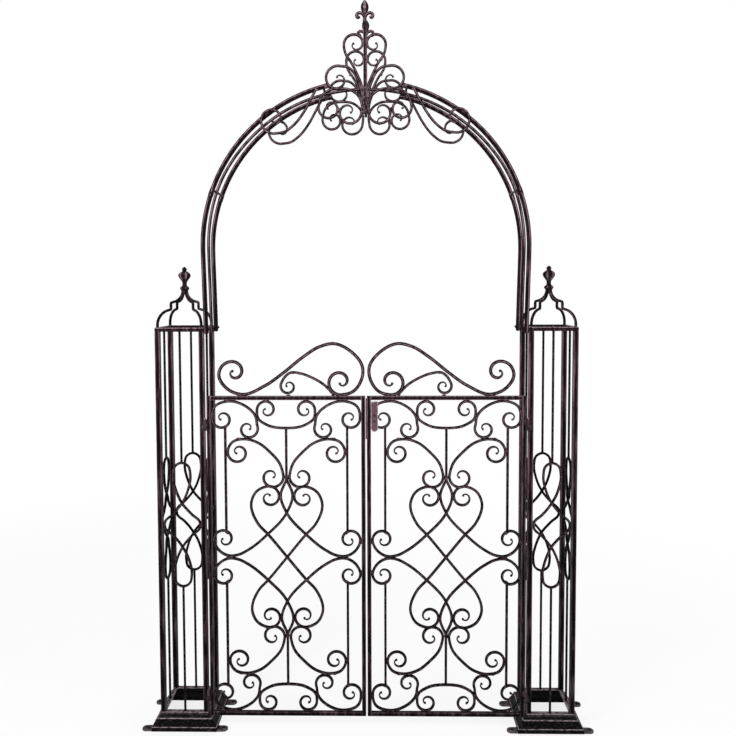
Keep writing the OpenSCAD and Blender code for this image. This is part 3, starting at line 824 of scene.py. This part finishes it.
# u, v, width and height of each weld: in a quarter of a leaf, and on its top rail
LEAF_WELDS = [(-231, 626, 26, 5), (-294.5, 556, 5, 22), (-115, 551, 9, 16), (-186, 474, 22, 8),
              (-77, 625, 20, 5), (-294.5, 62, 5, 20), (-230, 0, 24, 8), (-75, 92, 10, 10),
              (-236, 95, 9, 7), (-236, 520, 9, 7), (-233, 428, 6, 16), (-62, 281, 16, 8),
              (-25, 236, 6, 14)]
TOP_WELDS = [(-177, 1, 26, 4), (10, 3, 20, 5), (187, 3, 16, 6), (215, 2, 26, 4), (28, 92, 16, 12)]


def at_leaf(flat):
    """Puts a path drawn about a leaf's middle on the left leaf."""
    return np.asarray(flat, float) + [-LEAF_MID, LEAF_Z]


def spindle(u, v_end, v_other):
    """A light square upright of a leaf, between two heights from the leaf's middle."""
    (x, low), (_, high) = at_leaf([(u, min(v_end, v_other)), (u, max(v_end, v_other))])
    half = SPINDLE_W / 2
    return square_tube((x - half, FRONT_Y - half, low), (x + half, FRONT_Y + half, high), 2, 1.2)


def leaf_scroll_shells():
    """All the scrolls and light uprights of a leaf. Where the long scrolls cross, one bar is
    dressed to the front and the other to the back."""
    made = []
    both = (DRAWN, DRAWN)
    for sign in QUARTERS:
        made.append(bar(at_leaf(CORNER * sign), BAR_D, y=FRONT_Y, ends=both))
        made.append(bar(at_leaf(FORK * sign), BAR_D, y=FRONT_Y, ends=both))
        lift = FRONT_Y + DRESSED * sign[0] * sign[1]
        made.append(bar(at_leaf(ALMOND * sign), BAR_D, y=lift, ends=(DRAWN, 1)))
        made.append(spindle(SPINDLE_U * sign[0], 97 * sign[1], 526 * sign[1]))
        for u, v, width, height in LEAF_WELDS:
            x, z = at_leaf((u, v) * sign)
            made.append(bead((x, FRONT_Y, z), (width, BAR_D - 0.5, height), u + v))
    for s in (1, -1):
        made.append(bar(at_leaf(BOWL * [1, s]), BAR_D, y=FRONT_Y, ends=both))
        made.append(spindle(0, 312 * s, 515 * s))
        made.append(bead((-LEAF_MID, FRONT_Y, LEAF_Z + s * 318), (16, 12, 26), s))
        made.append(bead((-LEAF_MID, FRONT_Y, LEAF_Z + s * 511), (12, 10, 7), s))
        made.append(bar(at_leaf(HEART * [s, 1]), BAR_D, y=FRONT_Y + DRESSED * s, ends=both))
    return made


def leaf_crest_shells():
    """The long scroll along a leaf's top, and the small one under its shoulder."""
    up = np.array([-LEAF_MID, LEAF_TOP])
    made = [bar(LONG + up, CREST_D, y=FRONT_Y, ends=(0.55, DRAWN), drawn=60),
            bar(SMALL + up, BAR_D, y=FRONT_Y, ends=(DRAWN, 1))]
    for u, v, width, height in TOP_WELDS:
        made.append(bead((u - LEAF_MID, FRONT_Y, LEAF_TOP + v), (width, 11, height), u))
    return made


def stile_box(at_hinge):
    """Corners of a left leaf's hinge stile or meeting stile."""
    u = -INNER_U - FRAME_W if at_hinge else INNER_U
    x = -LEAF_MID + u
    return (x, FRONT_Y - FRAME_W / 2, LEAF_LOW), (x + FRAME_W, FRONT_Y + FRAME_W / 2, LEAF_TOP)


def barrel(z0, z1, ball):
    """A hinge barrel with softened ends between two heights, with a ball on top or without."""
    r = BARREL_R
    rows = [(0.5, z0), (r - 1.5, z0), (r, z0 + 1.5), (r, z1 - 1.5), (r - 1.5, z1), (0.5, z1)]
    # the barrel carries a faint painted highlight, partly rubbed wear, and the ball a full one
    made = [turned(rows, (-HINGE_X, HINGE_Y, 0), 20, rub=0.4)]
    if ball:
        a = np.radians(np.linspace(-70, 86, 8))
        tip = np.stack([4.5 * np.cos(a), z1 + 3 + 4.5 * np.sin(a)], 1)
        made.append(turned(tip, (-HINGE_X, HINGE_Y, 0), 16, rub=1.0))
    return made


def hinge_stile_shells():
    """The hinge stile with the upper barrel of each hinge, and its weld to the stile."""
    made = [square_tube(*stile_box(True), 2)]
    x, face = -HINGE_X, FRONT_Y - FRAME_W / 2
    for z in HINGE_Z:
        top = z + KNUCKLE_H
        made += barrel(z + 0.5, top, True)
        made.append(square_tube((x + 3, HINGE_Y + 1, z + 1.5), (x + 12, face + 1, top - 1), 2, 1.5))
        made.append(bead((x + 8, face, z + KNUCKLE_H / 2), (10, 7, 20), z))
    return made


def hinge_pin_shells():
    """The lower barrels of the hinges, which carry the pins, welded to the post."""
    made = []
    x, face = -HINGE_X, -FACE
    for z in HINGE_Z:
        low = z - KNUCKLE_H
        made += barrel(low, z, False)
        made.append(rod((x, HINGE_Y, z - 1), (x, HINGE_Y, z + 4), 7.6, 16))
        made.append(square_tube((x - 12, HINGE_Y + 1, low + 1), (x - 3, face + 1, z - 1), 2, 1.5))
        made.append(bead((x - 8, face, z - KNUCKLE_H / 2), (10, 6, 20), z))
    return made


def rail_shells(box):
    """A rail of the left leaf between its stiles, with weld in its corners."""
    low, high = box
    x0, x1 = -high[0], -low[0]
    made = [square_tube((x0 - 1, low[1], low[2]), (x1 + 1, high[1], high[2]), 0)]
    for x in (x0, x1):
        made.append(bead((x, low[1] + 0.5, (low[2] + high[2]) / 2), (6, 3, FRAME_W - 1), x))
    return made


def lock_plate_shells():
    """The lock's cover plate, with a round lower end and a soft edge."""
    (x0, front, z0), (x1, back, top) = PLATE
    r = (x1 - x0) / 2
    mid = np.array([(x0 + x1) / 2, PLATE_SHOULDER_Z])
    a = np.radians(np.linspace(180, 360, 15))
    round_end = np.stack([mid[0] + r * np.cos(a), z0 + r + r * np.sin(a)], 1)
    outline = path(round_end, [(x1, mid[1]), (x1, top - 3), (x1 - 1, top - 1), (x1 - 3, top),
                               (x0 + 3, top), (x0 + 1, top - 1), (x0, top - 3), (x0, mid[1])])
    inset = mid + (outline - mid) * [0.9, 0.97]
    # the last number of each row is its painted highlight, partly rubbed wear, strongest round the
    # front edge
    rows = [(outline, back, 0.0), (outline, front + 1, 0.9), (inset, front, 0.9),
            (mid + (inset - mid) * [0.8, 0.94], front, 0.1)]
    grid = np.stack([np.insert(flat, 1, y, axis=1) for flat, y, _ in rows])
    return [shell(grid, np.array([rub for _, _, rub in rows])[:, None])]


def keyhole_shade_shells():
    """Two near-black cylinders and a slot between them on the plate's face: painted shade where its
    keyholes are.
    """
    (x0, front, _), (x1, back, _) = PLATE
    x = (x0 + x1) / 2
    slot_low, slot_high = KEY_SLOT_Z
    made = [rod((x, front - 0.6, z), (x, back + 3, z), KEY_D) for z in KEYHOLES_Z]
    made.append(square_tube((x - 2, front - 0.4, slot_low), (x + 2, front + 1, slot_high), 2, 0.3))
    return made


def stop_strip_shells():
    """A strip on the right leaf that covers the gap between the leaves beside the lock."""
    low, high = (-1.6, FRONT_Y - 3, STRIP_LOW_Z), (3.6, FRONT_Y + 5, LEAF_TOP - 10)
    return [square_tube(low, high, 2, 1)]


# ---------- the whole gate ----------

TUBE, SCROLL, SHEET, CAST, FIT = "tube_frame", "scroll_bars", "foot_sheet", "castings", "fittings"


def columns():
    """Both columns, each piece drawn about its own column's middle."""
    for side, sx in (("left", -1), ("right", 1)):
        here = np.array([sx * COLUMN_X, 0, 0])

        def put(name, shells, paint, slot, node):
            piece(name, [moved(s, here) for s in shells], paint, "frame", slot, node)

        put(f"{side}_foot_sheet", foot_shells(), SHEET_PAINT, SHEET, f"{side}_foot")
        put(f"{side}_post_tubes", post_shells(), TUBE_PAINT, TUBE, f"{side}_posts")
        put(f"{side}_top_ring", ring_shells(), TUBE_PAINT, TUBE, f"{side}_ring")
        put(f"{side}_cap_ribs", cap_shells(), BAR_PAINT, SCROLL, f"{side}_cap")
        put(f"{side}_cast_finial", finial_shells(), CAST_PAINT, CAST, f"{side}_finial")
        outer = 270 if side == "left" else 90
        for face, turn in (("front", 0), ("rear", 180), ("outer", outer), ("path", 360 - outer)):
            shells = [about(moved(s, (0, FRONT_Y, 0)), turn) for s in trellis_shells()]
            put(f"{side}_trellis_{face}", shells, BAR_PAINT, SCROLL, f"{side}_panel_{face}")
        piece(f"{side}_hinge_barrels", on_side(side, hinge_pin_shells()), FITTING_PAINT, "frame",
              FIT, f"{side}_hinge_pins")


def arch():
    """The rails, rungs, crests, spears and hanging scrolls."""
    for where, y, crest_y in (("front", -POST_AT, -CREST_Y), ("rear", POST_AT, CREST_Y)):
        for side in ("left", "right"):
            piece(f"arch_{where}_{side}_tube", on_side(side, band_shells(y)), TUBE_PAINT, "frame",
                  TUBE, f"arch_{where}_{side}")
        piece(f"crest_{where}_scrolls", crest_shells(crest_y), BAR_PAINT, "frame",
              SCROLL, f"crest_{where}")
        piece(f"spear_{where}_casting", spear_shells(crest_y), CAST_PAINT, "frame",
              CAST, f"spear_{where}")
        piece(f"hanging_scrolls_{where}", side_scroll_shells(crest_y), BAR_PAINT, "frame",
              SCROLL, f"side_scrolls_{where}")
    for side in ("left", "right"):
        piece(f"arch_middle_{side}_rod", on_side(side, middle_shells()), TUBE_PAINT, "frame",
              TUBE, f"arch_middle_{side}")
    piece("arch_short_rungs", rung_shells(), BAR_PAINT, "frame", SCROLL, "arch_rungs")


def leaves():
    """Both leaves; the right one carries the lock and the strip that covers the gap."""
    for side in ("left", "right"):
        body = f"{side}_leaf"

        def put(name, shells, paint, slot, node):
            piece(f"{body}_{name}", on_side(side, shells), paint, body, slot, f"{body}_{node}")

        put("hinge_side_tube", hinge_stile_shells(), TUBE_PAINT, TUBE, "hinge_stile")
        put("meeting_side_tube", [square_tube(*stile_box(False), 2)], TUBE_PAINT, TUBE,
            "meeting_stile")
        put("top_tube", rail_shells(TOP_RAIL), TUBE_PAINT, TUBE, "top_rail")
        put("bottom_tube", rail_shells(LOW_RAIL), TUBE_PAINT, TUBE, "bottom_rail")
        put("scrollwork", leaf_scroll_shells(), BAR_PAINT, SCROLL, "scrolls")
        put("top_scroll", leaf_crest_shells(), BAR_PAINT, SCROLL, "crest")
    piece("lock_cover", lock_plate_shells(), PLATE_PAINT, "right_leaf", FIT,
          "right_leaf_lock_plate")
    # near-black discs on the lock plate, the painted shade of its keyholes
    piece("lock_keyhole_shade", keyhole_shade_shells(), SHEET_PAINT, "right_leaf", FIT)
    piece("right_leaf_stop_strip", stop_strip_shells(), PLATE_PAINT, "right_leaf", FIT)


columns()
arch()
leaves()

# ---------- floor, light and camera ----------


def floor():
    """A large level floor, in metres, half a millimetre under the feet."""
    mesh = bpy.data.meshes.new("floor")
    r, z = 30.0, -0.0005
    mesh.from_pydata([(-r, -r, z), (r, -r, z), (r, r, z), (-r, r, z)], [], [(0, 1, 2, 3)])
    mesh.materials.append(pale_floor())
    made = bpy.data.objects.new("floor", mesh)
    bpy.context.scene.collection.objects.link(made)


def world():
    """Even grey light from all round, seen as plain white."""
    made = bpy.data.worlds.new("studio")
    made.use_nodes = True
    tree = made.node_tree
    tree.nodes.clear()
    new = tree.nodes.new
    seen, light = new("ShaderNodeBackground"), new("ShaderNodeBackground")
    glossy, most = new("ShaderNodeMath"), new("ShaderNodeMath")
    rays, mixed = new("ShaderNodeLightPath"), new("ShaderNodeMixShader")
    seen.inputs["Color"].default_value = (1, 1, 1, 1)
    light.inputs["Color"].default_value = (1, 1, 1, 1)
    light.inputs["Strength"].default_value = 0.5
    most.operation = glossy.operation = "MAXIMUM"
    tree.links.new(rays.outputs["Is Glossy Ray"], glossy.inputs[0])
    tree.links.new(rays.outputs["Is Transmission Ray"], glossy.inputs[1])
    tree.links.new(rays.outputs["Is Camera Ray"], most.inputs[0])
    tree.links.new(glossy.outputs[0], most.inputs[1])
    tree.links.new(most.outputs[0], mixed.inputs[0])
    tree.links.new(light.outputs[0], mixed.inputs[1])
    tree.links.new(seen.outputs[0], mixed.inputs[2])
    tree.links.new(mixed.outputs[0], new("ShaderNodeOutputWorld").inputs["Surface"])
    bpy.context.scene.world = made


def softbox(name, place, size, power):
    """A square softbox that faces the middle of the gate."""
    lamp = bpy.data.lights.new(name, "AREA")
    lamp.size, lamp.energy = size, power
    made = bpy.data.objects.new(name, lamp)
    made.location = Vector(GATE) + Vector(place)
    aim = Vector(GATE) + Vector((0, 0, 1.3)) - made.location
    made.rotation_euler = aim.to_track_quat("-Z", "Y").to_euler()
    bpy.context.scene.collection.objects.link(made)


def camera():
    """A camera at eye height, turned a touch to the left and down."""
    made = bpy.data.cameras.new("camera")
    made.sensor_width, made.lens, made.shift_y = 36, 35.39, -0.0617
    eye = bpy.data.objects.new("camera", made)
    place = Vector(GATE) + Vector((0.051, -2.9, 1.768))
    yaw, pitch, roll = -0.015, -0.049, 0.003
    ahead = Vector((np.sin(yaw) * np.cos(pitch), np.cos(yaw) * np.cos(pitch), np.sin(pitch)))
    right = ahead.cross(Vector((0, 0, 1))).normalized()
    up = right.cross(ahead)
    tilt = Matrix.Rotation(roll, 3, ahead)
    turn = Matrix((tilt @ right, tilt @ up, -ahead)).transposed()
    eye.matrix_world = Matrix.Translation(place) @ turn.to_4x4()
    bpy.context.scene.collection.objects.link(eye)
    bpy.context.scene.camera = eye


floor()
world()
softbox("key", (-2.6, -3.2, 3.6), 1.6, 150)
softbox("fill", (3.4, -2.2, 1.6), 2.2, 60)
softbox("back", (0.6, 3.4, 3.4), 2.0, 70)
camera()
bpy.context.scene.view_settings.view_transform = "Standard"
